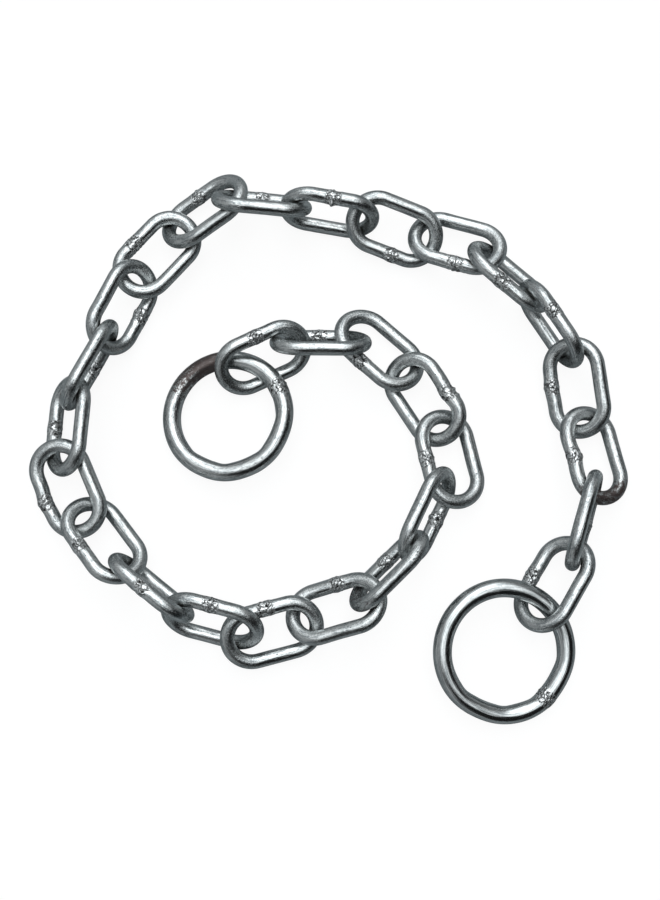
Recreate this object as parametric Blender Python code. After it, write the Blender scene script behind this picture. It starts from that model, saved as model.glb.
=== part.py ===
# A short steel chain with a ring at each end, lying in a loose spiral on a floor.
# Round-wire links, each closed by one butt weld halfway along a long side, and two heavier rings.
# Units are metres, +Z is up, and the origin is on the floor under the middle of the chain.

import math
from typing import NamedTuple

import bpy
import numpy as np
from mathutils import Matrix, Vector

MM = 0.001

# Wire and link sizes, the same on all links apart from two that were bent wider.
WIRE = 5.0 * MM
LINK_INSIDE_LENGTH = 26.5 * MM
LINK_INSIDE_WIDTH = 12.5 * MM
WELD_LENGTH = 5.0 * MM
WELD_SWELLING = 1.08

# Both rings are bent from heavier wire. Between their bending marks they are a little flattened:
# at 1 the wire would run straight from one mark to the next.
RING_WIRE = 6.4 * MM
INNER_RING_OUTSIDE = 47.5 * MM
OUTER_RING_OUTSIDE = 50.0 * MM
RING_FLATTENING = 0.3

# Pieces that touch on the real chain come to rest this far apart.
CLEARANCE = 0.2 * MM

# Facets of the solids.
WIRE_SIDE_RESOLUTION = 3
BEND_STEPS = 7
RING_STEPS = 24

ZINC_COLOUR = (0.47, 0.49, 0.50, 1.0)
TARNISHED_COLOUR = (0.34, 0.31, 0.29, 1.0)
ZINC_METALLIC = 1.0
ZINC_ROUGHNESS = 0.32


class Lie(NamedTuple):
    """How one link lies: middle in mm, way it points, tilt and what it does to the next piece.

    heading: degrees from +X, anticlockwise, from the inner ring towards the outer ring.
    roll: degrees about the link's own length, positive where its left side is the higher one.
    left_over_next: whether its left side passes over the next piece (its right side then passes
    under it), or the other way about.
    weld: the side that carries the butt weld, "left" or "right".
    inside_width: mm, where the link was bent wider than the rest.
    """

    x: float
    y: float
    heading: float
    roll: float
    left_over_next: bool
    weld: str
    inside_width: float = LINK_INSIDE_WIDTH / MM


LINKS = [
    Lie(-24.0, 32.5, 25, 40, True, "left"),
    Lie(-3.5, 37.5, 0, -62, False, "left"),
    Lie(17.5, 36.0, -41, -17, False, "right"),
    Lie(34.5, 17.5, -56, 25, True, "left"),
    Lie(42.5, -4.0, -77, -17, True, "right"),
    Lie(34.0, -24.5, -115, -65, False, "left"),
    Lie(20.0, -43.5, -135, 67, True, "right"),
    Lie(3.0, -57.5, -164, 17, True, "right"),
    Lie(-21.0, -64.5, -164, -14, True, "right"),
    Lie(-40.0, -61.5, 167, -56, False, "right"),
    Lie(-62.0, -49.5, 142, 76, True, "left"),
    Lie(-78.5, -34.0, 130, 31, True, "left"),
    Lie(-94.0, -14.5, 107, -16, True, "left"),
    Lie(-94.5, 5.5, 82, -51, False, "left"),
    Lie(-85.5, 27.0, 62, 90, True, "right"),
    Lie(-75.5, 50.5, 65, 48, True, "right"),
    Lie(-63.0, 74.0, 56, -12, True, "left"),
    Lie(-50.5, 89.5, 32, -24, True, "left", 14.0),
    Lie(-24.0, 87.5, -3, -62, False, "left"),
    Lie(0.0, 86.5, -11, 75, True, "left"),
    Lie(24.0, 81.0, -17, 27, True, "right", 13.0),
    Lie(50.5, 74.5, -13, -15, True, "right"),
    Lie(64.0, 62.0, -38, -48, False, "right"),
    Lie(78.5, 44.5, -59, 95, True, "left"),
    Lie(87.5, 22.0, -81, 23, True, "right"),
    Lie(94.0, -3.0, -74, -18, True, "right"),
    Lie(87.5, -26.5, -104, -76, False, "left"),
    Lie(78.0, -48.0, -120, 36, True, "right"),
]


class Ring(NamedTuple):
    """A ring's middle in mm, its outside size, and the angles of its weld and its bending marks."""

    x: float
    y: float
    outside: float
    weld: float
    marks: tuple


INNER_RING = Ring(-36.5, 11.5, INNER_RING_OUTSIDE, 27, (-134, -93, -48, -4))
OUTER_RING = Ring(60.0, -71.5, OUTER_RING_OUTSIDE, -48, (-136, -91, -60, -9))
INNER_RING_LEFT_OVER_FIRST_LINK = False


class Stage(NamedTuple):
    """One stage of the settling.

    rounds: how many rounds it takes.
    thin, thick: the share of the wires' thickness that counts, in its first and its last round.
    place, heading, roll: how hard each piece is drawn to how it was read, against 1 for the push
    on one point of a wire.
    drop: how hard each piece is drawn down.
    """

    rounds: int
    thin: float
    thick: float
    place: float
    heading: float
    roll: float
    drop: float


# The links are first hooked as very thin wires, which hardly moves them, and then grow thick.
START_THICKNESS = 0.25
HOOKING = Stage(30, START_THICKNESS, START_THICKNESS, 10.0, 5.0, 3.0, 0.3)
STAGES = [
    Stage(150, START_THICKNESS, 1.0, 10.0, 5.0, 3.0, 0.3),
    Stage(150, 1.0, 1.0, 5.0, 3.0, 3.0, 0.2),
    Stage(120, 1.0, 1.0, 4.0, 4.0, 4.0, 0.4),
    Stage(60, 1.0, 1.0, 0.0, 0.0, 0.0, 0.0),
]

# Spacing of the points along a wire, the drop of a piece in a round, the arm on which a pull that
# turns a piece acts, how hard a piece holds still, and its share of the worked-out move.
POINT_SPACING = 1.0 * MM
DROP = 0.2 * MM
ARM = 8.0 * MM
HOLD = 0.05
MOVE_SHARE = 0.5
MOST_TURN = 0.1
UP = np.array([0.0, 0.0, 1.0])
NEARLY_ZERO = 1e-12


def clear_scene():
    """Removes whatever the file starts with."""
    for old in list(bpy.data.objects):
        bpy.data.objects.remove(old, do_unlink=True)


def link_path(inside_width):
    """Middle line of a link's wire in its own plane, long way on X, with the thickness at each point.

    The weld is halfway along the side at +Y.
    """
    radius = (inside_width + WIRE) / 2
    half = (LINK_INSIDE_LENGTH + WIRE) / 2 - radius
    weld = WELD_LENGTH / 2
    crown = weld / 3
    points = [(half, radius), (weld, radius), (crown, radius), (-crown, radius), (-weld, radius)]
    thickness = [1.0, 1.0, WELD_SWELLING, WELD_SWELLING, 1.0]
    for centre, start in ((-half, 90), (half, 270)):
        for step in range(BEND_STEPS + 1):
            angle = math.radians(start + 180 * step / BEND_STEPS)
            points.append((centre + radius * math.cos(angle), radius * math.sin(angle)))
            thickness.append(1.0)
    # The last point repeats the first one.
    return points[:-1], thickness[:-1]


def ring_path(ring):
    """Middle line of a ring's wire: round, but flattened between one bending mark and the next."""
    radius = (ring.outside - RING_WIRE) / 2
    points = []
    for step in range(RING_STEPS):
        angle = -180 + 360 * step / RING_STEPS
        reach = radius
        for start, end in zip(ring.marks, ring.marks[1:]):
            if start < angle < end:
                half = math.radians(end - start) / 2
                off_middle = math.radians(angle - (start + end) / 2)
                chord = math.cos(half) / math.cos(off_middle)
                reach = radius * (1 - RING_FLATTENING * (1 - chord))
        points.append((reach * math.cos(math.radians(angle)), reach * math.sin(math.radians(angle))))
    thickness = [1.0] * RING_STEPS
    thickness[round((ring.weld + 180) * RING_STEPS / 360) % RING_STEPS] = WELD_SWELLING
    return points, thickness


class Piece:
    """A link or ring while the chain settles: its closed middle line, its wire and its place.

    tilts_freely: no roll was read for it, so it leans as its neighbours and the floor make it.
    """

    def __init__(self, path, wire, x, y, heading, roll, tilts_freely=False):
        self.line = evenly_spaced(path)
        self.radius = wire / 2
        self.tilts_freely = tilts_freely
        self.turn = rotation_about("Z", heading) @ rotation_about("X", roll)
        self.place = np.array([x * MM, y * MM, 0.0])
        self.place[2] = self.radius - self.points()[:, 2].min()
        self.wanted_place = self.place.copy()
        self.wanted_turn = self.turn.copy()

    def points(self):
        return self.line @ self.turn.T + self.place


def rotation_about(axis, degrees):
    return np.array(Matrix.Rotation(math.radians(degrees), 3, axis))


def evenly_spaced(path):
    """The closed line through the path's points, cut into steps of about POINT_SPACING."""
    corners = np.array([(x, y, 0.0) for x, y in path])
    ahead = np.roll(corners, -1, axis=0)
    cuts = np.maximum(1, np.round(np.linalg.norm(ahead - corners, axis=1) / POINT_SPACING)).astype(int)
    return np.concatenate(
        [start + (end - start) * np.arange(n)[:, None] / n for start, end, n in zip(corners, ahead, cuts)]
    )


class Pushes:
    """What one piece is asked to do in a round, solved as one small rigid move."""

    def __init__(self, piece):
        self.piece = piece
        self.rows = []
        self.moves = []

    def push(self, at, along, move):
        """Points of the wire, the way each is pushed and how far."""
        row = np.concatenate([along, np.cross(at - self.piece.place, along)], axis=-1)
        self.rows.append(row.reshape(-1, 6))
        self.moves.append(np.atleast_1d(move))

    def pull(self, slide, spin, move, strength):
        """A move of the whole piece along slide, or a turn of it about spin."""
        scale = math.sqrt(strength)
        self.rows.append(np.concatenate([slide, spin])[None, :] * scale)
        self.moves.append(np.array([move * scale]))

    def pull_to_reading(self, stage):
        """Draws the piece to the place, heading and roll read for it, and down."""
        piece = self.piece
        offset = piece.wanted_place - piece.place
        turn_back = rotation_vector(piece.wanted_turn @ piece.turn.T)
        still = np.zeros(3)
        for axis in np.eye(3)[:2]:
            self.pull(axis, still, axis @ offset, stage.place)
        self.pull(UP, still, -DROP, stage.drop)
        self.pull(still, UP, UP @ turn_back, stage.heading * ARM**2)
        if not piece.tilts_freely:
            length = piece.turn[:, 0]
            self.pull(still, length, length @ turn_back, stage.roll * ARM**2)

    def apply(self):
        """Moves the piece, and keeps the move small where nothing else asks for it."""
        hold = np.diag([HOLD] * 3 + [HOLD * ARM] * 3)
        rows = np.concatenate([*self.rows, hold])
        moves = np.concatenate([*self.moves, np.zeros(6)])
        answer = np.linalg.lstsq(rows, moves, rcond=None)[0] * MOVE_SHARE
        self.piece.place += answer[:3]
        angle = np.linalg.norm(answer[3:])
        if angle > NEARLY_ZERO:
            spin = np.array(Matrix.Rotation(min(angle, MOST_TURN), 3, Vector(answer[3:])))
            self.piece.turn = spin @ self.piece.turn


def rotation_vector(turn):
    """The axis of a turn, as long as its angle."""
    axis, angle = Matrix(turn.tolist()).to_quaternion().to_axis_angle()
    if angle > math.pi:
        angle -= 2 * math.pi
    return np.array(axis) * angle


def crossings(first, second):
    """Where two closed lines cross as seen from above: the point of each, for every crossing."""
    a = first.points()
    b = second.points()
    a_run = np.roll(a, -1, axis=0) - a
    b_run = np.roll(b, -1, axis=0) - b
    gap = b[None, :, :2] - a[:, None, :2]
    turn = a_run[:, None, 0] * b_run[None, :, 1] - a_run[:, None, 1] * b_run[None, :, 0]
    turn = np.where(np.abs(turn) < NEARLY_ZERO, NEARLY_ZERO, turn)
    along_a = (gap[..., 0] * b_run[None, :, 1] - gap[..., 1] * b_run[None, :, 0]) / turn
    along_b = (gap[..., 0] * a_run[:, None, 1] - gap[..., 1] * a_run[:, None, 0]) / turn
    hit = (along_a >= 0) & (along_a < 1) & (along_b >= 0) & (along_b < 1)
    rows, columns = np.nonzero(hit)
    at_a = a[rows] + a_run[rows] * along_a[rows, columns][:, None]
    at_b = b[columns] + b_run[columns] * along_b[rows, columns][:, None]
    return at_a, at_b


def hook_together(first, second, left_over, apart, pushes):
    """Lifts whichever piece passes over the other at each crossing, and lowers the other.

    The side a crossing is on is read from the steeper of the two pieces.
    """
    steeper = min(first, second, key=lambda piece: abs(piece.turn[2, 2]))
    for a, b in zip(*crossings(first, second)):
        at_steeper = a if steeper is first else b
        on_left = (at_steeper - steeper.place) @ steeper.turn[:, 1] > 0
        sign = 1.0 if on_left == left_over else -1.0
        short = apart - sign * (a[2] - b[2])
        if short > 0:
            pushes[first].push(a, UP, sign * short / 2)
            pushes[second].push(b, UP, -sign * short / 2)


def keep_apart(first, second, apart, pushes):
    """Pushes two pieces away from each other wherever their middle lines are too near."""
    a = first.points()
    b = second.points()
    between = a[:, None, :] - b[None, :, :]
    distance = np.linalg.norm(between, axis=2)
    rows, columns = np.nonzero(distance < apart)
    if len(rows) == 0:
        return
    way = between[rows, columns] / distance[rows, columns][:, None]
    move = (apart - distance[rows, columns]) / 2
    pushes[first].push(a[rows], way, move)
    pushes[second].push(b[columns], -way, move)


def keep_off_floor(piece, pushes):
    """Lifts every point of the wire that is below the floor."""
    points = piece.points()
    short = piece.radius - points[:, 2]
    low = short > 0
    if low.any():
        pushes[piece].push(points[low], np.tile(UP, (low.sum(), 1)), short[low])


def settle(pieces, left_over):
    """Works out how the pieces lie: first which passes over which, then the contacts and the weight."""
    pairs = list(zip(pieces, pieces[1:], left_over))
    for stage in [HOOKING, *STAGES]:
        for turn in range(stage.rounds):
            thickness = stage.thin + (stage.thick - stage.thin) * turn / stage.rounds
            pushes = {piece: Pushes(piece) for piece in pieces}
            for first, second, over in pairs:
                apart = (first.radius + second.radius + CLEARANCE) * thickness
                if stage is HOOKING:
                    hook_together(first, second, over, apart, pushes)
                else:
                    keep_apart(first, second, apart, pushes)
            for piece in pieces:
                keep_off_floor(piece, pushes)
                pushes[piece].pull_to_reading(stage)
                pushes[piece].apply()


def wire_object(name, path, thickness, wire, colour):
    """A closed loop of round wire as a bevelled curve, in the piece's own plane."""
    curve = bpy.data.curves.new(name, "CURVE")
    curve.dimensions = "3D"
    curve.bevel_depth = wire / 2
    curve.bevel_resolution = WIRE_SIDE_RESOLUTION
    spline = curve.splines.new("POLY")
    spline.points.add(len(path) - 1)
    for point, (x, y), share in zip(spline.points, path, thickness):
        point.co = (x, y, 0.0, 1.0)
        point.radius = share
    spline.use_cyclic_u = True
    spline.use_smooth = True
    curve.materials.append(zinc_finish(name + "_finish", colour))
    shape = bpy.data.objects.new(name, curve)
    bpy.context.scene.collection.objects.link(shape)
    return shape


def zinc_finish(name, colour):
    """Bright zinc plating over steel."""
    material = bpy.data.materials.new(name)
    material.use_nodes = True
    shader = material.node_tree.nodes["Principled BSDF"]
    shader.inputs["Base Color"].default_value = colour
    shader.inputs["Metallic"].default_value = ZINC_METALLIC
    shader.inputs["Roughness"].default_value = ZINC_ROUGHNESS
    return material


def centre_on_floor(shapes):
    """Moves everything so that the origin is under the middle, on the floor."""
    bpy.context.view_layer.update()
    graph = bpy.context.evaluated_depsgraph_get()
    corners = []
    for shape in shapes:
        solid = shape.evaluated_get(graph)
        mesh = solid.to_mesh()
        corners += [solid.matrix_world @ vertex.co for vertex in mesh.vertices]
        solid.to_mesh_clear()
    corners = np.array(corners)
    low = corners.min(axis=0)
    high = corners.max(axis=0)
    shift = Vector(((low[0] + high[0]) / 2, (low[1] + high[1]) / 2, low[2]))
    for shape in shapes:
        shape.location -= shift


def build():
    clear_scene()
    chain = bpy.data.objects.new("chain", None)
    bpy.context.scene.collection.objects.link(chain)
    pieces = []
    shapes = []

    def add_ring(name, ring, colour):
        path, thickness = ring_path(ring)
        pieces.append(Piece(path, RING_WIRE, ring.x, ring.y, 0, 0, tilts_freely=True))
        shapes.append(wire_object(name, path, thickness, RING_WIRE, colour))

    def add_link(name, link):
        path, thickness = link_path(link.inside_width * MM)
        if link.weld == "right":
            path = [(-x, -y) for x, y in path]
        pieces.append(Piece(path, WIRE, link.x, link.y, link.heading, link.roll))
        shapes.append(wire_object(name, path, thickness, WIRE, ZINC_COLOUR))

    add_ring("inner_ring", INNER_RING, TARNISHED_COLOUR)
    for number, link in enumerate(LINKS, 1):
        add_link(f"link_{number:02d}", link)
    add_ring("outer_ring", OUTER_RING, ZINC_COLOUR)

    settle(pieces, [INNER_RING_LEFT_OVER_FIRST_LINK] + [link.left_over_next for link in LINKS])
    for piece, shape in zip(pieces, shapes):
        shape.location = Vector(piece.place)
        shape.rotation_euler = Matrix(piece.turn.tolist()).to_euler()
        shape.parent = chain
    centre_on_floor(shapes)


build()
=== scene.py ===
# %% [markdown]
# # A short steel chain with a ring at each end
#
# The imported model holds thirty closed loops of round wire: twenty-eight links and two rings. They
# are exact in size and place, but each wire has only ten flat sides. This lesson rebuilds every
# loop as a smooth wire in the same place, adds the marks that bending and welding leave on it, and
# gives it a zinc finish that follows the wire round its bends.
#
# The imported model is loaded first, because every loop takes its place from it.

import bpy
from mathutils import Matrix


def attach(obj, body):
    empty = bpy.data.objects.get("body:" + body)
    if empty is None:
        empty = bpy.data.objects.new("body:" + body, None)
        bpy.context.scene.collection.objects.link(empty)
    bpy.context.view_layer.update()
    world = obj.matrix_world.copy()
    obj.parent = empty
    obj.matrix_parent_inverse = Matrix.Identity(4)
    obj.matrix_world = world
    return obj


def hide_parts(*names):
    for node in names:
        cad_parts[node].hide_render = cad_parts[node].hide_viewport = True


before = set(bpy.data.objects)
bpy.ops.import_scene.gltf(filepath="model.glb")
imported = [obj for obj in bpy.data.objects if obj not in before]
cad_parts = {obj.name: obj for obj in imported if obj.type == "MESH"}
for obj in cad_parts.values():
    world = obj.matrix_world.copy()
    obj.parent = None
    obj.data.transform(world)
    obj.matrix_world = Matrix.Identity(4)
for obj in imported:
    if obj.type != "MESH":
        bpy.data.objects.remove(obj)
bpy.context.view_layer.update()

MM = 0.001

# %% Blender's own modules
import math

import bmesh
import bpy
import numpy as np
from mathutils import Matrix, Vector, noise
from mathutils.bvhtree import BVHTree

# %% [markdown]
# ## The camera
#
# The picture was taken from nearly straight above, from about 45 cm away. A camera could be turned
# by three angles, but it is easier to say where it stands and what it looks at: the direction
# between the two is turned into a rotation. With a 36 mm sensor along the long side of the picture
# this is an ordinary 50 mm lens.

# %% Camera
CAMERA_TARGET = Vector((0.4, -2.1, 0.0)) * MM
CAMERA_DISTANCE = 450 * MM
CAMERA_LEAN = math.radians(10)
CAMERA_LENS = 50.0

camera = bpy.data.objects.new("camera", bpy.data.cameras.new("camera"))
camera.data.lens = CAMERA_LENS
back = Vector((0.0, -math.sin(CAMERA_LEAN), math.cos(CAMERA_LEAN)))
camera.location = CAMERA_TARGET + back * CAMERA_DISTANCE
camera.rotation_euler = back.to_track_quat("Z", "Y").to_euler()
bpy.context.scene.collection.objects.link(camera)
bpy.context.scene.camera = camera
print("camera at", [round(v / MM) for v in camera.location], "mm")

# %% [markdown]
# ## Shader maths as plain expressions
#
# A material is a tree of nodes, and long sums are hard to read as nodes. This small class holds one
# socket and adds the Math nodes for `+ - *` behind the scenes, so that a pattern can be written as
# it would be on paper. Everything that isn't a sum comes from `node`, which sets a node's options
# first and then its sockets.


# %% Shader maths
class Number:
    """A socket that carries a number, for use in sums."""

    def __init__(self, finish, socket):
        self.finish = finish
        self.socket = socket

    def math(self, operation, *values, clamp=False):
        settings = {"operation": operation, "use_clamp": clamp}
        made = self.finish.node("ShaderNodeMath", settings, dict(enumerate(values)))
        return Number(self.finish, made.outputs[0])

    def __add__(self, other):
        return self.math("ADD", self, other)

    def __sub__(self, other):
        return self.math("SUBTRACT", self, other)

    def __rsub__(self, other):
        return self.math("SUBTRACT", other, self)

    def __mul__(self, other):
        return self.math("MULTIPLY", self, other)

    __radd__ = __add__
    __rmul__ = __mul__

    def largest(self, other):
        return self.math("MAXIMUM", self, other)

    def size(self):
        return self.math("ABSOLUTE", self)

    def degrees_from(self, upwards):
        """The angle whose slope is this number over the other one."""
        return self.math("DEGREES", self.math("ARCTAN2", self, upwards))

    def clamped(self):
        return self.math("ADD", self, 0.0, clamp=True)

    def rise(self, start, end):
        """0 up to start, 1 from end on, and smooth between. It falls where start is above end."""
        made = self.finish.node(
            "ShaderNodeMapRange",
            {"interpolation_type": "SMOOTHSTEP"},
            {"Value": self, "From Min": start, "From Max": end},
        )
        return Number(self.finish, made.outputs[0])


class Finish:
    """A material, or a world, while its nodes are being made."""

    def __init__(self, owner):
        owner.use_nodes = True
        self.owner = owner
        self.tree = owner.node_tree
        self.tree.nodes.clear()

    def node(self, kind, settings=None, sockets=None):
        """Adds a node: first its settings, then the values or links of its sockets, which are given
        by name, or by number where several have the same name."""
        made = self.tree.nodes.new(kind)
        for name, value in (settings or {}).items():
            setattr(made, name, value)
        for name, value in (sockets or {}).items():
            in_use = [s for s in made.inputs if s.enabled]
            socket = in_use[name] if isinstance(name, int) else next(s for s in in_use if s.name == name)
            if isinstance(value, Number):
                value = value.socket
            if isinstance(value, bpy.types.NodeSocket):
                self.tree.links.new(value, socket)
            else:
                socket.default_value = value
        return made

    def attribute(self, name):
        """A number that is stored on every point of the piece."""
        return Number(self, self.node("ShaderNodeAttribute", {"attribute_name": name}).outputs["Fac"])

    def stretched(self, vector, scale):
        """The vector with each of its three parts scaled."""
        made = self.node("ShaderNodeVectorMath", {"operation": "MULTIPLY"}, {0: vector, 1: scale})
        return made.outputs[0]

    def noise(self, vector, size, detail=2.0, roughness=0.5, distortion=0.0):
        """Cloudy pattern from 0 to 1 whose blobs are about size metres across."""
        sockets = {"Vector": vector, "Scale": 1 / size, "Detail": detail, "Roughness": roughness}
        made = self.node("ShaderNodeTexNoise", None, {**sockets, "Distortion": distortion})
        return Number(self, made.outputs[0])

    def cells(self, vector, size, feature="F1"):
        """Distance in a pattern of irregular cells about size metres across: from a cell's middle, or
        from its edge with the feature DISTANCE_TO_EDGE."""
        made = self.node("ShaderNodeTexVoronoi", {"feature": feature}, {"Vector": vector, "Scale": 1 / size})
        return Number(self, made.outputs["Distance"])

    def blend(self, amount, first, second):
        """From the first colour to the second one, by an amount from 0 to 1."""
        sockets = {"Factor": amount, "A": first, "B": second}
        made = self.node("ShaderNodeMix", {"data_type": "RGBA"}, sockets)
        return next(s for s in made.outputs if s.enabled)


# %% [markdown]
# ## The floor and the light
#
# The floor is plain and white. Most of its brightness is its own glow, as on a lit table, which
# keeps the chain's shadows faint. What the metal mirrors is another matter: polished wire shows its
# whole surroundings, squeezed into a few millimetres. The bright streak along each wire is a large
# soft light overhead, which reaches further down at the top of the picture than at the bottom, and
# the dark bands beside it are the dim room. The flanks of the wire mirror the floor, and they are
# darker in the picture than a white floor would make them, so the metal sees a greyer floor than
# the camera does.
#
# A lamp alone has a hard edge, and the streaks in the picture fade softly. So the room is a world
# colour that depends on the direction: a soft bright window overhead in a dim room, which is
# darkest towards the viewer and to the right. A lamp in the middle of the window adds the core of
# the streak. The camera itself sees a plain white backdrop. The Standard view keeps that white,
# where Blender's own choice of view would turn it grey.

# %% Floor
FLOOR_SIZE = 6.0
FLOOR_WHITE = (0.98, 0.98, 0.98, 1.0)
FLOOR_PAPER = (0.13, 0.13, 0.13, 1.0)
FLOOR_GREY_IN_METAL = (0.30, 0.322, 0.330, 1.0)
FLOOR_GLOW = 0.94

bm = bmesh.new()
bmesh.ops.create_grid(bm, x_segments=1, y_segments=1, size=FLOOR_SIZE / 2)
floor_mesh = bpy.data.meshes.new("floor")
bm.to_mesh(floor_mesh)
bm.free()
floor = bpy.data.objects.new("floor", floor_mesh)
bpy.context.scene.collection.objects.link(floor)
print("floor:", FLOOR_SIZE, "m wide")

# %% The floor's finish
paper_floor = Finish(bpy.data.materials.new("pale_floor"))
ray = paper_floor.node("ShaderNodeLightPath")
paper = paper_floor.node("ShaderNodeBsdfDiffuse", None, {"Color": FLOOR_PAPER})
glow = paper_floor.node("ShaderNodeEmission", None, {"Color": FLOOR_WHITE, "Strength": FLOOR_GLOW})
lit_paper = paper_floor.node("ShaderNodeAddShader", None, {0: paper.outputs[0], 1: glow.outputs[0]})
mirrored = paper_floor.node("ShaderNodeBsdfDiffuse", None, {"Color": FLOOR_GREY_IN_METAL})
seen = paper_floor.node(
    "ShaderNodeMixShader",
    None,
    {0: ray.outputs["Is Camera Ray"], 1: mirrored.outputs[0], 2: lit_paper.outputs[0]},
)
paper_floor.node("ShaderNodeOutputMaterial", None, {"Surface": seen.outputs[0]})
floor_mesh.materials.append(paper_floor.owner)
print("floor finish:", len(paper_floor.tree.nodes), "nodes")

# %% Room
WINDOW_GLOW = 1.62
ROOM_DARK = 0.012
LEFT_GLOW = 0.34
FAR_GLOW = 0.26
BACKDROP = (0.98, 0.98, 0.98, 1.0)
ROOM_TINT = (0.95, 1.0, 1.025, 1.0)

# Each edge: degrees from straight up where the light starts, and where it is full.
WINDOW_NEAR = (-34, -5)
WINDOW_FAR = (78, 52)
WINDOW_LEFT = (-46, -14)
WINDOW_RIGHT = (42, 14)
LEFT_WALL = (-15, -60)
FAR_WALL = (10, 75)

world = bpy.data.worlds.new("room")
bpy.context.scene.world = world
room = Finish(world)
direction = room.node("ShaderNodeTexCoord").outputs["Generated"]
parts = room.node("ShaderNodeSeparateXYZ", None, {0: direction}).outputs
sideways, away, upwards = (Number(room, part) for part in parts)
across = sideways.degrees_from(upwards)
ahead = away.degrees_from(upwards)
window = ahead.rise(*WINDOW_NEAR) * ahead.rise(*WINDOW_FAR)
window = window * across.rise(*WINDOW_LEFT) * across.rise(*WINDOW_RIGHT)
walls = (across.rise(*LEFT_WALL) * LEFT_GLOW).largest(ahead.rise(*FAR_WALL) * FAR_GLOW)
brightness = window * WINDOW_GLOW + walls + ROOM_DARK
dim = room.node("ShaderNodeBackground", None, {"Color": ROOM_TINT, "Strength": brightness})
pale = room.node("ShaderNodeBackground", None, {"Color": BACKDROP, "Strength": 1.0})
ray = room.node("ShaderNodeLightPath")
both = room.node(
    "ShaderNodeMixShader", None, {0: ray.outputs["Is Camera Ray"], 1: dim.outputs[0], 2: pale.outputs[0]}
)
room.node("ShaderNodeOutputWorld", None, {"Surface": both.outputs[0]})
print("room:", len(room.tree.nodes), "nodes")

# %% Large soft light
LIGHT_DISTANCE = 1.1
LIGHT_LEAN = math.radians(24)
LIGHT_SIZE = (0.7, 1.1)
LIGHT_RADIANCE = 0.45

light = bpy.data.objects.new("soft_light", bpy.data.lights.new("soft_light", "AREA"))
light.data.shape = "RECTANGLE"
light.data.size, light.data.size_y = LIGHT_SIZE
light.data.energy = LIGHT_RADIANCE * math.pi * LIGHT_SIZE[0] * LIGHT_SIZE[1]
towards = Vector((0.0, math.sin(LIGHT_LEAN), math.cos(LIGHT_LEAN)))
light.location = towards * LIGHT_DISTANCE
light.rotation_euler = towards.to_track_quat("Z", "Y").to_euler()
light.visible_camera = False
bpy.context.scene.collection.objects.link(light)
bpy.context.scene.view_settings.view_transform = "Standard"
print("light:", round(light.data.energy, 2), "W")

# %% [markdown]
# ## Where each loop lies
#
# The place of each loop could be copied out as a long list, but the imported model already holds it.
# A CAD node's mesh is loose triangles, so a copy of it is merged first. The shape then tells how
# the loop lies: the direction in which its points spread the least is straight across its plane,
# and the direction in which they spread the most is a link's long side. The weld has more points
# than the rest of the wire, so the middle of all points is a little off towards it, which tells
# the weld's side.

# %% Reading a node
SAME_PLACE = 0.001 * MM


def node_points(name):
    """Every corner of a CAD node once."""
    bm = bmesh.new()
    bm.from_mesh(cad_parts[name].data)
    bmesh.ops.remove_doubles(bm, verts=bm.verts, dist=SAME_PLACE)
    points = np.array([v.co for v in bm.verts])
    bm.free()
    return points


def spread_axes(points):
    """The directions of the widest, middle and least spread, with the last one pointing up."""
    axes = np.linalg.svd(points - points.mean(axis=0), full_matrices=False)[2]
    if axes[2][2] < 0:
        axes[2] *= -1
    return axes


def placing(axes, middle):
    """The matrix that carries a loop from its own plane to its place."""
    matrix = Matrix([list(row) for row in np.transpose(axes)]).to_4x4()
    matrix.translation = Vector(middle)
    return matrix


first_link = node_points("link_01")
print("link_01:", len(first_link), "points, facing", spread_axes(first_link)[2].round(2))

# %% [markdown]
# ## The wire
#
# A link could be a curve with a round profile, but a mesh can be dented and welded afterwards. So a
# circle is swept with `spin`: straight along one side, round a bend, back along the other side and
# round the second bend, until it meets its start at the weld. Each point also keeps its place on
# the straight wire that the link was bent from: how far along it is, and where on the round
# section. Streaks and scratches that use this place follow the wire round every bend.

# %% Sizes of the wire
WIRE = 5.1 * MM
RING_WIRE = 6.5 * MM
CAD_WIRE = 5.0 * MM
CAD_RING_WIRE = 6.4 * MM
LINK_INSIDE_LENGTH = 26.5 * MM
WIRE_SIDES = 40
FINE_STEP = 0.3 * MM
PLAIN_STEP = 0.6 * MM
ENDS_MEET = 0.01 * MM
QUARTER_TURN = math.radians(90)
print("wire in mm:", round(WIRE / MM, 1), "in the links and", round(RING_WIRE / MM, 1), "in the rings")


# %% Sweeping a wire
def start_wire(thickness, at):
    """A new mesh with one open circle, facing along X, and its points and edges."""
    bm = bmesh.new()
    place = Matrix.Translation(at) @ Matrix.Rotation(QUARTER_TURN, 4, "Y")
    bmesh.ops.create_circle(bm, segments=WIRE_SIDES, radius=thickness / 2, matrix=place)
    return bm, bm.verts[:] + bm.edges[:]


def sweep(bm, end, step, shift=(0, 0, 0), centre=(0, 0, 0), angle=0.0, radius=0.0):
    """Carries the wire's open end straight on by shift, or round a centre, and returns the new end."""
    steps = max(1, round((Vector(shift).length + angle * radius) / step))
    made = bmesh.ops.spin(
        bm, geom=end, cent=centre, axis=(0, 0, 1), dvec=Vector(shift) / steps, angle=angle, steps=steps
    )
    return made["geom_last"]


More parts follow.
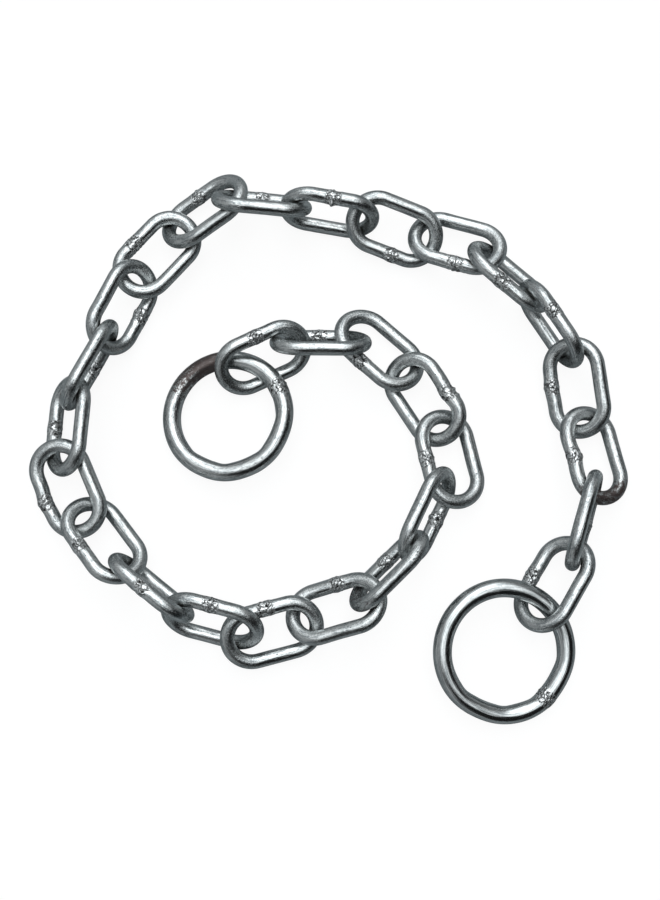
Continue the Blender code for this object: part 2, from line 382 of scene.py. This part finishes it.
# %% A link's wire and a ring's wire
def link_wire(side, half, weld):
    """A link's wire in its own plane: side is from its middle to a straight side's wire, half is half
    of that side's length, and weld is where the wire starts and ends, on the side at +Y."""
    bm, end = start_wire(WIRE, (weld, side, 0))
    end = sweep(bm, end, FINE_STEP, shift=(-half - weld, 0, 0))
    end = sweep(bm, end, PLAIN_STEP, centre=(-half, 0, 0), angle=math.pi, radius=side)
    end = sweep(bm, end, PLAIN_STEP, shift=(2 * half, 0, 0))
    end = sweep(bm, end, PLAIN_STEP, centre=(half, 0, 0), angle=math.pi, radius=side)
    sweep(bm, end, FINE_STEP, shift=(weld - half, 0, 0))
    bmesh.ops.remove_doubles(bm, verts=bm.verts, dist=ENDS_MEET)
    bmesh.ops.recalc_face_normals(bm, faces=bm.faces)
    return bm


def ring_wire(radius):
    """A ring's round wire in its own plane."""
    bm, end = start_wire(RING_WIRE, (0, radius, 0))
    whole_turn = 2 * math.pi
    steps = round(whole_turn * radius / PLAIN_STEP)
    bmesh.ops.spin(
        bm, geom=end, cent=(0, 0, 0), axis=(0, 0, 1), angle=whole_turn, steps=steps, use_merge=True
    )
    bmesh.ops.recalc_face_normals(bm, faces=bm.faces)
    return bm


# %% Place on the straight wire
def on_link_wire(points, side, half, weld):
    """For points of a link's wire: how far along the straight wire they are, how far outwards of its
    middle line, which way outwards is, and the wire's whole length."""
    x, y = points[:, 0], points[:, 1]
    left, right, top = x < -half, x > half, y > 0
    end_x = np.clip(x, -half, half)
    round_end = np.stack([x - end_x, y, 0 * x], axis=1)
    straight = np.stack([0 * x, np.where(top, 1.0, -1.0), 0 * x], axis=1)
    bent = left | right
    reach = np.where(bent, np.linalg.norm(round_end, axis=1), np.abs(y))
    outwards = np.where(bent[:, None], round_end / np.maximum(reach, SAME_PLACE)[:, None], straight)
    turn = np.arctan2(outwards[:, 1], outwards[:, 0])
    bend = math.pi * side
    first = weld + half
    whole = 4 * half + 2 * bend
    along = np.select(
        [left, right, ~top, x <= weld],
        [
            first + (np.mod(turn, 2 * math.pi) - math.pi / 2) * side,
            first + bend + 2 * half + (turn + math.pi / 2) * side,
            first + bend + half + x,
            weld - x,
        ],
        whole + weld - x,
    )
    return along, reach - side, outwards, whole


def on_ring_wire(points, radius, weld):
    """The same for a ring, whose wire starts at its weld's angle."""
    flat = points * (1, 1, 0)
    reach = np.linalg.norm(flat, axis=1)
    outwards = flat / reach[:, None]
    turn = np.mod(np.arctan2(flat[:, 1], flat[:, 0]) - weld, 2 * math.pi)
    return turn * radius, reach - radius, outwards, 2 * math.pi * radius


# %% [markdown]
# ## The welds and the unevenness of real wire
#
# Each loop was closed by pressing the two ends of its wire together white-hot. The metal that was
# squeezed out was trimmed roughly, so the weld is a swelling with crumpled lips, small burrs and
# pits, and no two are alike. Wire that has been bent is never quite even either. One weld could be
# modelled by hand and copied, but the copies would show. So all of this is made by moving the swept
# points in and out, by amounts that come from a noise pattern on the straight wire, and each link
# gets its own by starting at another place in the pattern.

# %% Noise on the wire
PATTERN_SPACING = 0.35
PATTERN_SHIFT = Vector((7.3, 3.1, 5.7))


def wavy(points, size, pattern=0.0):
    """Smooth noise between about -1 and 1, in blobs of about size metres."""
    return np.array([noise.noise(Vector(p) / size + PATTERN_SHIFT * pattern) for p in points])


def hump(distance, width):
    """1 at no distance, falling smoothly to nearly 0 at twice the width."""
    return np.exp(-((distance / width) ** 2))


print("a hump at 0, 1 and 2 widths:", hump(np.arange(3), 1).round(2))


# %% Weld readings
class Weld:
    """How one weld looks: how far along its side it is from the middle, how far the wire bows out
    there, how rough and how long it is, and its burrs and pits. Lengths are given in mm."""

    def __init__(self, shift=0.0, bow=0.0, rough=1.0, length=2.6, spots=()):
        self.shift = shift * MM
        self.bow = bow * MM
        self.rough = rough
        self.length = length * MM
        self.spots = spots


# Each spot: mm along the wire, degrees round it from the top, mm of height and mm of width. The
# height is above 0 for a burr and below 0 for a pit.
WELDS = {
    1: Weld(0.1, rough=0.9, spots=[(-0.6, 0, -0.5, 0.6)]),
    2: Weld(-0.6, rough=0.8, spots=[(0.4, 10, -0.4, 0.5)]),
    3: Weld(2.3, rough=1.3, length=3.5, spots=[(0.8, 20, -1.1, 0.7)]),
    4: Weld(3.0, bow=-0.5, length=4.5, spots=[(0, -70, 0.6, 0.8), (-2.5, -75, 0.5, 0.8)]),
    5: Weld(1.1, rough=1.2, spots=[(-0.8, -60, 0.6, 0.7)]),
    6: Weld(-0.8, rough=1.4, length=3.2, spots=[(0.3, -10, -0.9, 0.7), (0.6, 60, 0.6, 0.8)]),
    7: Weld(0.7, rough=1.2, length=3.0),
    8: Weld(2.3, rough=1.2, length=3.0, spots=[(0, 20, -0.5, 0.5)]),
    9: Weld(-0.4, rough=1.2, length=3.6, spots=[(1.0, -60, 0.4, 0.7)]),
    10: Weld(-1.4, rough=1.2, spots=[(0.0, 0, 0.35, 0.5)]),
    11: Weld(-0.5, rough=1.5, length=3.6, spots=[(-1.6, 30, -0.7, 0.6), (1.6, -30, 0.6, 0.7)]),
    12: Weld(2.0, rough=0.9, spots=[(0, 0, 0.5, 1.0), (0, 0, -0.7, 0.4)]),
    13: Weld(-1.4, bow=0.7, length=2.8, spots=[(0, 60, 0.4, 0.7)]),
    14: Weld(-0.5),
    15: Weld(0.8, rough=1.5, length=3.6, spots=[(-0.6, 40, -1.0, 0.8), (1.2, -60, 0.6, 0.8)]),
    16: Weld(-1.1, rough=1.4, length=4.2, spots=[(1.5, 60, 0.5, 0.9)]),
    17: Weld(-3.0, rough=1.4, length=4.0, spots=[(2.0, -30, -0.6, 0.6)]),
    18: Weld(0.4),
    19: Weld(0.9, rough=0.9, spots=[(0.6, 60, -0.8, 0.6)]),
    20: Weld(-0.2, rough=1.2, spots=[(0.2, 75, 1.3, 0.7), (-1.2, -60, -0.9, 0.8)]),
    21: Weld(-2.1, rough=1.1, spots=[(-0.6, -60, 0.9, 0.9), (0.6, 20, 0.4, 0.6)]),
    22: Weld(-2.0, rough=1.4, length=3.6),
    23: Weld(0.5, rough=1.4, length=3.4, spots=[(0.6, 30, -1.1, 0.7)]),
    24: Weld(-2.0, length=3.0),
    25: Weld(1.6, bow=0.3, rough=1.2, length=2.8, spots=[(0.3, 0, -0.4, 0.5)]),
    26: Weld(0.4, bow=-0.6, rough=1.2, length=3.0, spots=[(0.5, 60, 0.4, 0.9)]),
    27: Weld(0.0, length=2.4, spots=[(0, 80, 0.8, 1.0)]),
    28: Weld(-1.0, bow=0.3, rough=1.3, length=3.2, spots=[(0, 0, -0.5, 0.5)]),
}
RING_WELD = Weld(rough=0.9, length=2.4, spots=[(0, 0, -0.4, 0.5)])
print("welds:", len(WELDS), "on links, with", sum(len(w.spots) for w in WELDS.values()), "burrs and pits")

# %% Shaping the wire
SWELLING = 0.12 * MM
SWELLING_LENGTH = 0.8
CRUMPLE = 0.22 * MM
LUMP_SIZE = 1.7 * MM
FACET_SIZE = 0.85 * MM
LIP = 0.18 * MM
LIP_WIDTH = 0.45 * MM
LIP_WANDER = 0.7 * MM
LIP_WANDER_SIZE = 2.2 * MM
UNEVEN = 0.05 * MM
UNEVEN_SIZE = 2.5 * MM
DRAWN_OUT = (0.35, 1, 1)

# Lumps only stand up and facets go both ways, so the whole weld is sunk a little to even it out.
LUMPS, FACETS, SUNK = 1.3, 0.5, 0.2

# The lips come and go with the lumps: how much of a lip there is between lumps, and the change.
LIP_SHARE, LIP_CHANGE = 0.5, 1.5


def shaped(along, outward, across, whole, top_angle, weld, thickness, seed):
    """How far each point moves off the wire's surface, its distance from the weld along the wire, and
    how deep in a pit of the weld it is, from 0 to 1.

    top_angle is the direction on the wire's round section that faces up where it lies."""
    from_weld = np.where(along > whole / 2, along - whole, along)
    place = np.stack([along + seed * PATTERN_SPACING, outward, across], axis=1)
    rough = weld.rough * hump(from_weld, weld.length)
    lump = wavy(place, LUMP_SIZE)
    facet = wavy(place, FACET_SIZE, 1.0)
    move = UNEVEN * wavy(place * DRAWN_OUT, UNEVEN_SIZE, 2.0)
    move += SWELLING * hump(from_weld, weld.length * SWELLING_LENGTH)
    move += CRUMPLE * rough * (LUMPS * np.abs(lump) + FACETS * facet - SUNK)
    lip_line = LIP_WANDER * wavy(place * (0, 1, 1) + seed, LIP_WANDER_SIZE, 3.0)
    lip_left = np.clip(LIP_SHARE + LIP_CHANGE * lump, 0, 1)
    move += LIP * weld.rough * hump(from_weld - lip_line, LIP_WIDTH) * lip_left
    turn = np.arctan2(across, outward)
    pit = np.zeros(len(along))
    for spot_along, degrees, height, width in weld.spots:
        off_turn = np.angle(np.exp(1j * (turn - top_angle - math.radians(degrees)))) * thickness / 2
        distance = np.hypot(from_weld - spot_along * MM, off_turn)
        move += height * MM * hump(distance, width * MM)
        if height < 0:
            pit = np.maximum(pit, hump(distance, width * MM))
    return move, from_weld, pit


def move_wire(bm, points, outward, outwards, move, sideways):
    """Moves every point off the wire's surface by move, and the whole wire outwards by sideways."""
    section = outwards * outward[:, None] + points * (0, 0, 1)
    section /= np.linalg.norm(section, axis=1)[:, None]
    moved = points + section * move[:, None] + outwards * sideways[:, None]
    for vert, place in zip(bm.verts, moved):
        vert.co = place


# %% [markdown]
# ## Storing what the finish needs
#
# The finish has to know, at every point, the place on the straight wire, the distance from the
# weld, how deep in a pit it is, how bent, coarse or brown the wire is there, and how near the next
# loop is, for its dirt and painted shade. It could be painted by hand, but all of it is known from
# the shaping, so it is stored as attributes of the mesh. The place is stored on face corners and
# not on points, because where the wire's two ends meet at the weld one point is both the start
# and the end of the wire.


# %% Attributes
def store(mesh, name, values):
    """One number for each point."""
    mesh.attributes.new(name, "FLOAT", "POINT").data.foreach_set("value", np.asarray(values, np.float32))


def store_wire_place(mesh, place, whole):
    """Each face corner's place on the straight wire. A face between the last and the first points has
    corners in both end quarters, and those at the start are taken to run on past the end."""
    corners = np.empty(len(mesh.loops), np.int32)
    mesh.loops.foreach_get("vertex_index", corners)
    sides = np.empty(len(mesh.polygons), np.int32)
    mesh.polygons.foreach_get("loop_total", sides)
    face = np.repeat(np.arange(len(sides)), sides)
    values = place[corners].copy()
    start = values[:, 0].min()
    furthest = np.zeros(len(sides))
    np.maximum.at(furthest, face, values[:, 0] - start)
    wraps = (furthest[face] > whole * 0.75) & (values[:, 0] - start < whole * 0.25)
    values[wraps, 0] += whole
    mesh.attributes.new("wire_place", "FLOAT_VECTOR", "CORNER").data.foreach_set("vector", values.ravel())


def store_marks(mesh, points, along, outward, whole, seed, **marks):
    """The place on the straight wire, and each mark's number for each point."""
    place = np.stack([along + seed * PATTERN_SPACING, outward, points[:, 2]], axis=1)
    store_wire_place(mesh, place, whole)
    for name, values in marks.items():
        store(mesh, name, values)


# %% [markdown]
# ## The zinc finish
#
# The wire was plated with zinc after it was bent and welded. Zinc is a bright, slightly blue-green
# metal, so the base is fully metallic. Drawing the wire through its die left fine lines along it.
# Bending roughens the wire into a fine grain, so bends look a little darker and duller. The welds
# are crumpled like foil, with bright facets, creases and black specks, and the creases and pits are
# painted black as painted shade. The plating is dirty where links rub on each other, and darkened
# there by painted shade too, and it is brown at one part of the inner ring and on a few bends.
#
# A picture of worn metal could be wrapped round the wire, but it would repeat on every link and
# smear on the bends. Noise on the straight wire's own place does neither. All patterns swing to
# both sides of 0, and their amounts in the sums below were set beside the picture.

# %% Colours of the zinc
ZINC = (0.72, 0.735, 0.73, 1.0)
ZINC_SHADE = (0.28, 0.305, 0.315, 1.0)
BRIGHT_WELD = (0.88, 0.89, 0.89, 1.0)
# The near-black is for weld specks and plating holes, and also painted shade in the weld's creases and pits.
SPECK_AND_SHADE_BLACK = (0.022, 0.021, 0.020, 1.0)
BROWN = (0.058, 0.031, 0.025, 1.0)
# The next colour is dirt where loops rub, and also painted shade where one loop shades the next.
GRIME_AND_CONTACT_SHADE = (0.10, 0.092, 0.080, 1.0)

# %% What is stored on the wire
zinc = Finish(bpy.data.materials.new("zinc_on_wire"))
wire = zinc.node("ShaderNodeAttribute", {"attribute_name": "wire_place"}).outputs["Vector"]
bend = zinc.attribute("bend")
brown = zinc.attribute("brown")
rubbed_and_shaded = zinc.attribute("rubbed_and_shaded")
coarse = zinc.attribute("coarse")
from_weld = zinc.attribute("from_weld")
pit = zinc.attribute("pit")
print("stored on the wire:", len(zinc.tree.nodes), "attributes")

# %% Drawn lines, grain and cloudy patches
LINE_SIZE = 0.4 * MM
GRAIN_SIZE = 0.45 * MM
MOTTLE_SIZE = 1.1 * MM
PATCH_SIZE = 3.5 * MM

lines = zinc.noise(zinc.stretched(wire, (0.05, 1, 1)), LINE_SIZE, detail=3) - 0.5
grain = zinc.noise(wire, GRAIN_SIZE, detail=4, roughness=0.7) - 0.5
mottle = zinc.noise(zinc.stretched(wire, (0.6, 1, 1)), MOTTLE_SIZE, detail=3, roughness=0.6) - 0.5
patches = zinc.noise(zinc.stretched(wire, (0.4, 1, 1)), PATCH_SIZE, detail=3) - 0.5

# %% Foil, creases and specks of the weld, with painted shade in the creases
WELD_FROM, WELD_FULL = 3.3 * MM, 2.3 * MM
WELD_EDGE_WANDER = 2.4 * MM
CREASE_SPACING = 1.7 * MM
FOIL_SIZE = 1.5 * MM
FOIL_GRAIN_SIZE = 0.7 * MM
SPECK_SIZE = 0.9 * MM

weld = (from_weld + patches * WELD_EDGE_WANDER).rise(WELD_FROM, WELD_FULL)
# The creases dent the relief, and are also painted black as painted shade in the weld's folds.
creases_and_shade = zinc.cells(wire, CREASE_SPACING, feature="DISTANCE_TO_EDGE").rise(0.15, 0.05)
creases_and_shade = creases_and_shade * mottle.rise(-0.10, 0.02) * weld
foil = (zinc.noise(wire, FOIL_SIZE, detail=2) - 0.5).size()
foil_grain = (zinc.noise(wire, FOIL_GRAIN_SIZE, detail=2, distortion=0.8) - 0.5).size()
specks = zinc.noise(wire, SPECK_SIZE, detail=3, roughness=0.6, distortion=1.0).rise(0.55, 0.61) * weld

# %% Holes in the plating
HOLE_SPACING = 1.5 * MM
PRICK_SPACING = 0.55 * MM

holes = zinc.cells(zinc.stretched(wire, (0.6, 1, 1)), HOLE_SPACING).rise(0.15, 0.06)
holes = holes * patches.rise(0.0, 0.1) * (1 - weld) * coarse
pricks = zinc.cells(zinc.stretched(wire, (0.5, 1, 1)), PRICK_SPACING).rise(0.34, 0.14)
pricks = pricks * (mottle + lines).rise(-0.05, 0.15) * coarse

# %% Dull bends, brown zinc, grime and painted contact shade, and black with painted shade in creases and pits
dull = (bend * (grain.rise(-0.15, 0.15) * 0.5 + 0.5)).clamped()
browned = (brown * 1.3 + mottle * 2.2 + grain * 2.2 - 0.2).rise(0.2, 0.8) * brown.rise(0.0, 0.25)
# Near the next loop the zinc darkens: partly dirt from rubbing, partly painted shade between loops.
grime_and_contact_shade = (rubbed_and_shaded * 1.2 + mottle * 1.5 - 0.3).rise(0.1, 0.8) * rubbed_and_shaded.rise(0.0, 0.3)
# Pits are painted black: painted shade at the bottom of each pit of the weld.
deep = (pit + mottle * 0.5).rise(0.45, 0.7)
black = (creases_and_shade * 0.8 + specks * 0.85 + holes * 0.9 + deep).clamped()

# %% Colour
shade = lines * 3.0 + (mottle * 1.9 + grain * 2.2) * (coarse * 0.8 + 0.2) + patches * 0.9 + dull * 0.22
shade = shade + pricks * 0.5 + (1 - coarse) * 0.2 + 0.1
colour = zinc.blend(shade.clamped(), ZINC, ZINC_SHADE)
colour = zinc.blend(weld * 0.6, colour, BRIGHT_WELD)
# Darker near the next loop: rubbed dirt and painted shade.
colour = zinc.blend(grime_and_contact_shade * 0.85, colour, GRIME_AND_CONTACT_SHADE)
colour = zinc.blend(browned * 0.9, colour, BROWN)
# The near-black: specks and holes, and painted shade in creases and pits.
colour = zinc.blend(black, colour, SPECK_AND_SHADE_BLACK)

# %% Shine
roughness = 0.15 + coarse * 0.05 + mottle * 0.25 + lines * 0.15 + dull * 0.06 - weld * 0.04
roughness = (roughness + browned * 0.14 + grime_and_contact_shade * 0.15 + black * 0.3).clamped()
metallic = (1 - browned * 0.35 - black * 0.5).clamped()

# %% Relief in mm, and the finished zinc
height = lines * 0.065 + mottle * (coarse * 0.04 + 0.012)
height = height + grain * (coarse * 0.05 + bend * 0.05 + 0.004)
height = height + weld * (foil * 0.35 + foil_grain * 0.15)
height = height - creases_and_shade * 0.12 - holes * 0.08 - specks * 0.1 - pricks * 0.02
bump = zinc.node("ShaderNodeBump", None, {"Strength": 1.0, "Distance": 1.0, "Height": height * MM})
surface = zinc.node(
    "ShaderNodeBsdfPrincipled",
    None,
    {"Base Color": colour, "Metallic": metallic, "Roughness": roughness, "Normal": bump.outputs[0]},
)
zinc.node("ShaderNodeOutputMaterial", None, {"Surface": surface.outputs[0]})
print("zinc:", len(zinc.tree.nodes), "nodes")

# %% [markdown]
# ## The links
#
# With everything in place, a link is a few lines: read how it lies, sweep its wire, move its points
# for the weld and the unevenness, carry it to its place, and store what the finish needs. One link
# could be copied twenty-eight times, but they differ in their welds, and two of them in width.


# %% Finishing one loop
def finished_piece(name, bm):
    """Turns the mesh that was built into a piece that stands for its CAD node."""
    mesh = bpy.data.meshes.new(name)
    bm.to_mesh(mesh)
    bm.free()
    mesh.shade_smooth()
    mesh.materials.append(zinc.owner)
    piece = bpy.data.objects.new(name + "_wire", mesh)
    bpy.context.scene.collection.objects.link(piece)
    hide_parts(name)
    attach(piece, "root")
    return piece


# %% Where a link lies
CLEAR_OF_WELD = 0.25


def link_lie(name):
    """Where a link lies, and half of its outside width, which is read clear of the weld."""
    points = node_points(name)
    middle = points.mean(axis=0)
    long_way, across, up = spread_axes(points)
    seen_across = (points - middle) @ across
    seen_long = (points - middle) @ long_way
    clear = np.abs(seen_long) > CLEAR_OF_WELD * np.abs(seen_long).max()
    low, high = seen_across[clear].min(), seen_across[clear].max()
    offset = (low + high) / 2
    if offset > 0:
        across = -across
        offset = -offset
    long_way = np.cross(across, up)
    seen_long = (points - middle) @ long_way
    centre = middle + across * offset + long_way * (seen_long.max() + seen_long.min()) / 2
    return placing((long_way, across, up), centre), (high - low) / 2


widths = [2 * link_lie(f"link_{number:02d}")[1] / MM for number in WELDS]
print("links are", round(min(widths), 1), "to", round(max(widths), 1), "mm wide")

# %% Links
WANDER = 0.12 * MM
WANDER_SIZE = 9 * MM
WANDER_SPACING = 2
STEADY_AT_WELD = 2 * MM
BOW_WIDTH = 3.2 * MM
BEND_FADE = 2 * MM
BENT_AT_START = 0.3
BROWN_START = 2 * MM
BROWN_FADE = 4 * MM

# Which end of the link is brown, along its own X, and how brown.
BROWN_BENDS = {7: (-1, 0.35), 26: (-1, 0.75), 8: (1, 0.15)}


def make_link(number):
    """Sweeps one link's wire where its CAD node lies, shapes it, and stores its marks."""
    name = f"link_{number:02d}"
    lie, half_width = link_lie(name)
    side = half_width - CAD_WIRE / 2
    half = (LINK_INSIDE_LENGTH + CAD_WIRE) / 2 - side
    weld = WELDS[number]
    bm = link_wire(side, half, weld.shift)
    points = np.array([v.co for v in bm.verts])
    along, outward, outwards, whole = on_link_wire(points, side, half, weld.shift)
    up_here = lie.to_3x3().transposed() @ Vector((0, 0, 1))
    top_angle = math.atan2(up_here.z, up_here.y)
    move, from_weld, pit = shaped(along, outward, points[:, 2], whole, top_angle, weld, WIRE, number)
    line_place = np.stack([along + number * WANDER_SPACING, 0 * along, 0 * along], axis=1)
    sideways = WANDER * wavy(line_place, WANDER_SIZE, 4.0) * (1 - hump(from_weld, STEADY_AT_WELD))
    sideways += weld.bow * hump(from_weld, BOW_WIDTH)
    move_wire(bm, points, outward, outwards, move, sideways)
    bm.transform(lie)
    piece = finished_piece(name, bm)
    past_bend = np.abs(points[:, 0]) - half
    end, amount = BROWN_BENDS.get(number, (0, 0.0))
    past_brown = points[:, 0] * end - half - BROWN_START
    marks = {
        "from_weld": np.abs(from_weld),
        "pit": pit,
        "bend": np.clip(past_bend / BEND_FADE + BENT_AT_START, 0, 1),
        "coarse": np.ones(len(points)),
        "brown": amount * np.clip(past_brown / BROWN_FADE, 0, 1),
    }
    store_marks(piece.data, points, along, outward, whole, number, **marks)
    return piece


links = [make_link(number) for number in WELDS]
print("links:", len(links), "with", sum(len(link.data.polygons) for link in links), "faces in all")

# %% [markdown]
# ## The rings
#
# Both rings were bent from heavier wire in a few strokes. The tool left a mark at each stroke, with
# a flatter stretch between one mark and the next, so the lower side of each ring is a little like a
# polygon, on the inside more than on the outside. A plain torus would have neither the weld nor
# these stretches, so a ring is swept and shaped as a link is. The inner ring has lost its shine at
# its upper left, where it is brown.

# %% Readings of the rings
# Angles are degrees from the ring's own X. The outside is the diameter, marks are where the tool
# pressed, brown holds pairs of an angle and how brown it is there, and coarse says how grainy the
# plating is beside that of the links.
RINGS = {
    "inner_ring": {
        "outside": 47.5 * MM,
        "weld": 27,
        "marks": (-134, -93, -48, -4),
        "brown": ((85, 0), (97, 0.8), (112, 1), (135, 0.75), (155, 0.5), (172, 0)),
        "coarse": 0.8,
        "slot": "tarnished_zinc",
    },
    "outer_ring": {
        "outside": 50.0 * MM,
        "weld": -48,
        "marks": (-136, -91, -60, -9),
        "brown": ((0, 0),),
        "coarse": 0.15,
        "slot": "zinc_plate",
    },
}

# %% Flatter stretches
FLATTENING = 0.3
OUTSIDE_TURNS = np.linspace(-14, 14, 9)
INSIDE_TURNS = np.linspace(-7, 7, 7)


def flattened(degrees, marks, radius):
    """How far the wire's middle is from the ring's middle at an angle, with a corner at each mark."""
    reach = np.full(np.shape(degrees), radius)
    for start, end in zip(marks, marks[1:]):
        half = math.radians(end - start) / 2
        chord = math.cos(half) / np.cos(np.radians(degrees - (start + end) / 2))
        inside = (degrees > start) & (degrees < end)
        reach = np.where(inside, radius * (1 - FLATTENING * (1 - chord)), reach)
    return reach


def rounded_off(degrees, marks, radius, turns):
    """The same with its corners taken off, by averaging over a few degrees on either side."""
    return np.mean([flattened(degrees + turn, marks, radius) for turn in turns], axis=0)


reaches = [flattened(np.arange(-180, 180), ring["marks"], 1.0).min() for ring in RINGS.values()]
print("the flattest places of the rings are at", [round(reach, 3) for reach in reaches], "of the radius")

# %% Where a ring lies
CAD_RING_STEPS = 24


def ring_lie(name, ring, radius):
    """Where a ring lies: its own X stays as near to the world's X as its tilt lets it. The CAD ring is
    flattened too, so the middle of its points is a little off the ring's own middle."""
    points = node_points(name)
    up = spread_axes(points)[2]
    right = np.array([1.0, 0, 0]) - up * up[0]
    right /= np.linalg.norm(right)
    ahead = np.cross(up, right)
    degrees = np.arange(CAD_RING_STEPS) * 360 / CAD_RING_STEPS - 180
    reach = flattened(degrees, ring["marks"], radius)
    off_middle = right * np.mean(reach * np.cos(np.radians(degrees)))
    off_middle += ahead * np.mean(reach * np.sin(np.radians(degrees)))
    return placing((right, ahead, up), points.mean(axis=0) - off_middle)


tilts = [math.degrees(math.acos(spread_axes(node_points(name))[2][2])) for name in RINGS]
print("the rings tilt by", [round(tilt, 1) for tilt in tilts], "degrees")

# %% Rings
MARK_DEPTH = 0.2 * MM
MARK_WIDTH = 2.6 * MM
FIRST_RING_SEED = 40


def make_ring(name, ring, seed):
    """The same for one ring, with its bending marks and flatter stretches."""
    radius = (ring["outside"] - CAD_RING_WIRE) / 2
    lie = ring_lie(name, ring, radius)
    bm = ring_wire(radius)
    points = np.array([v.co for v in bm.verts])
    along, outward, outwards, whole = on_ring_wire(points, radius, math.radians(ring["weld"]))
    degrees = np.degrees(np.arctan2(points[:, 1], points[:, 0]))
    across = points[:, 2]
    move, from_weld, pit = shaped(along, outward, across, whole, QUARTER_TURN, RING_WELD, RING_WIRE, seed)
    inner = np.clip(-outward / (RING_WIRE / 2), 0, 1)
    for mark in ring["marks"]:
        distance = np.radians(degrees - mark) * radius
        move -= MARK_DEPTH * inner * hump(distance, MARK_WIDTH)
    outside = rounded_off(degrees, ring["marks"], radius, OUTSIDE_TURNS) - radius
    inside = rounded_off(degrees, ring["marks"], radius, INSIDE_TURNS) - radius
    move_wire(bm, points, outward, outwards, move, outside + inner * (inside - outside))
    bm.transform(lie)
    piece = finished_piece(name, bm)
    marks = {
        "from_weld": np.abs(from_weld),
        "pit": pit,
        "bend": np.zeros(len(points)),
        "coarse": np.full(len(points), ring["coarse"]),
        "brown": np.interp(degrees, *zip(*ring["brown"])),
    }
    store_marks(piece.data, points, along, outward, whole, seed, **marks)
    return piece


rings = [make_ring(name, ring, FIRST_RING_SEED + i) for i, (name, ring) in enumerate(RINGS.items())]
print("rings:", [len(ring.data.polygons) for ring in rings], "faces")

# %% [markdown]
# ## Where the pieces rub, and painted shade between them
#
# The plating is worn and dirty where one loop hangs in the next, and the finish darkens these
# places further as painted shade, where one loop shades the next. These places could be marked by
# hand, but they can be measured: each point's distance to the nearest neighbour is found with a
# search tree of the neighbour's faces, and stored for the finish. Only points near a neighbour's
# box are measured, which saves most of the time.

# %% Measuring how near a neighbour is
RUB_AND_SHADE_REACH = 2.2 * MM


def face_tree(piece):
    """A search tree of a piece's faces."""
    mesh = piece.data
    return BVHTree.FromPolygons([v.co for v in mesh.vertices], [p.vertices for p in mesh.polygons])


def rub_and_shade_amounts(points, neighbours):
    """For each point 1 where it touches a neighbour, falling to 0 at RUB_AND_SHADE_REACH from it."""
    amounts = np.zeros(len(points))
    for tree, (low, high) in neighbours:
        near = np.all((points > low - RUB_AND_SHADE_REACH) & (points < high + RUB_AND_SHADE_REACH), axis=1)
        for i in np.nonzero(near)[0]:
            distance = tree.find_nearest(points[i], RUB_AND_SHADE_REACH)[3]
            if distance is not None:
                amounts[i] = max(amounts[i], 1 - distance / RUB_AND_SHADE_REACH)
    return amounts


# %% Rubbed places, with painted shade near neighbours
chain = [rings[0], *links, rings[1]]
corners = [np.array([v.co for v in piece.data.vertices]) for piece in chain]
boxes = [(points.min(axis=0), points.max(axis=0)) for points in corners]
trees = list(zip([face_tree(piece) for piece in chain], boxes))
closest = []
for i, piece in enumerate(chain):
    amounts = rub_and_shade_amounts(corners[i], trees[max(0, i - 1) : i] + trees[i + 1 : i + 2])
    # Stored for the rubbed dirt and the painted shade near each neighbour.
    store(piece.data, "rubbed_and_shaded", amounts)
    closest.append(round((1 - amounts.max()) * RUB_AND_SHADE_REACH / MM, 2))
print("smallest gaps in mm:", closest)
